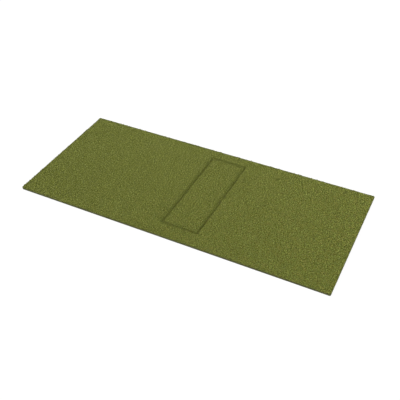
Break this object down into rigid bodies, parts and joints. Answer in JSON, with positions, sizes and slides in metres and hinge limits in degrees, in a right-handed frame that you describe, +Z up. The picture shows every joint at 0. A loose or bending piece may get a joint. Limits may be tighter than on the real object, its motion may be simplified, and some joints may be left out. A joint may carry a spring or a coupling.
{
  "type": "golf hitting mat",
  "caption": "Flat rectangular artificial-turf mat for hitting golf balls, laminated on foam and rubber, with a lift-out turf hitting strip set flush in a window.",
  "frame": {"origin": "centre of the mat's underside, on the floor", "axes": "+X along the mat's length, +Y across its width to the back edge, +Z up out of the turf"},
  "size_m": [2.7432, 1.2192, 0.021],
  "materials": {
    "turf_yarn": "matte",
    "woven_backing": "matte",
    "latex_coating": "satin",
    "underlay_foam": "matte",
    "shock_pad_foam": "matte",
    "base_rubber": "matte",
    "loop_fabric": "matte",
    "hook_tape": "satin"
  },
  "bodies": {
    "mat": {"base_sheet": "base_rubber", "foam_underlay": "underlay_foam", "turf_coating": "latex_coating", "turf_primary_backing": "woven_backing", "turf_pile": "turf_yarn", "pocket_loop_liner": "loop_fabric"},
    "hitting_strip": {"strip_hook_tapes": "hook_tape", "strip_shock_pad": "shock_pad_foam", "strip_coating": "latex_coating", "strip_primary_backing": "woven_backing", "strip_pile": "turf_yarn"}
  },
  "joints": [
    {"name": "strip_lift", "type": "slide", "parent": "mat", "child": "hitting_strip", "axis": [0, 0, 1], "range_m": [0, 0.08]}
  ]
}
